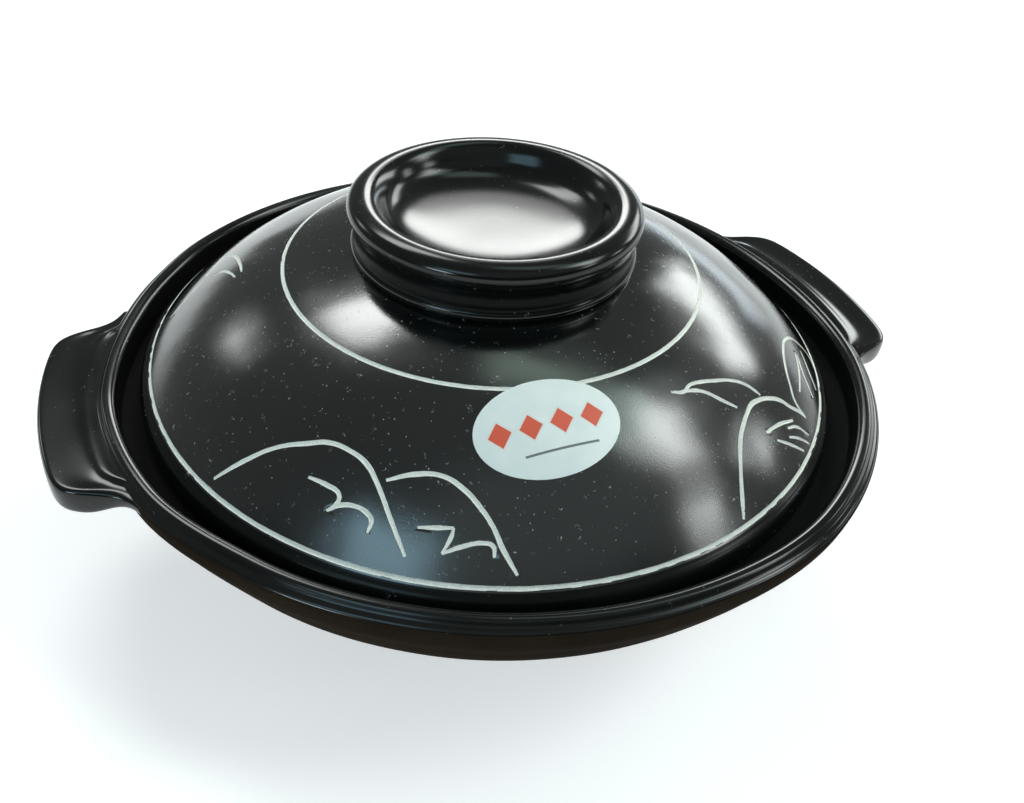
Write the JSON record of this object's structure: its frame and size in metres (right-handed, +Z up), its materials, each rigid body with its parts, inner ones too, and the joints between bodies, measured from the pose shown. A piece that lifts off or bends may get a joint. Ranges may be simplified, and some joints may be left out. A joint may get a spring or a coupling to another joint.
{
  "type": "lidded sand pot",
  "caption": "Low round glazed clay cooking pot with two plate ears, a domed lid with carved lines that rests in a channel inside the rim, and a wide dished knob.",
  "frame": {"origin": "centre of the foot ring, on the plane that the pot stands on", "axes": "+Z is up and is the axis of the bowl, the lid and the knob; +X runs out through the middle of the right ear; the label is on the side of -Y"},
  "size_m": [0.273, 0.24, 0.1108],
  "materials": {
    "black_glaze": "near-black gloss glaze on fired clay",
    "label_foil": "pale satin foil on paper"
  },
  "bodies": {
    "pot": {"pot_bowl": "black_glaze", "left_ear": "black_glaze", "right_ear": "black_glaze"},
    "lid": {"lid_dome": "black_glaze", "lid_knob": "black_glaze", "label_sticker": "label_foil"}
  },
  "joints": [
    {"name": "lid_lift", "type": "slide", "parent": "pot", "child": "lid", "axis": [0, 0, 1], "range_m": [0, 0.12]}
  ]
}
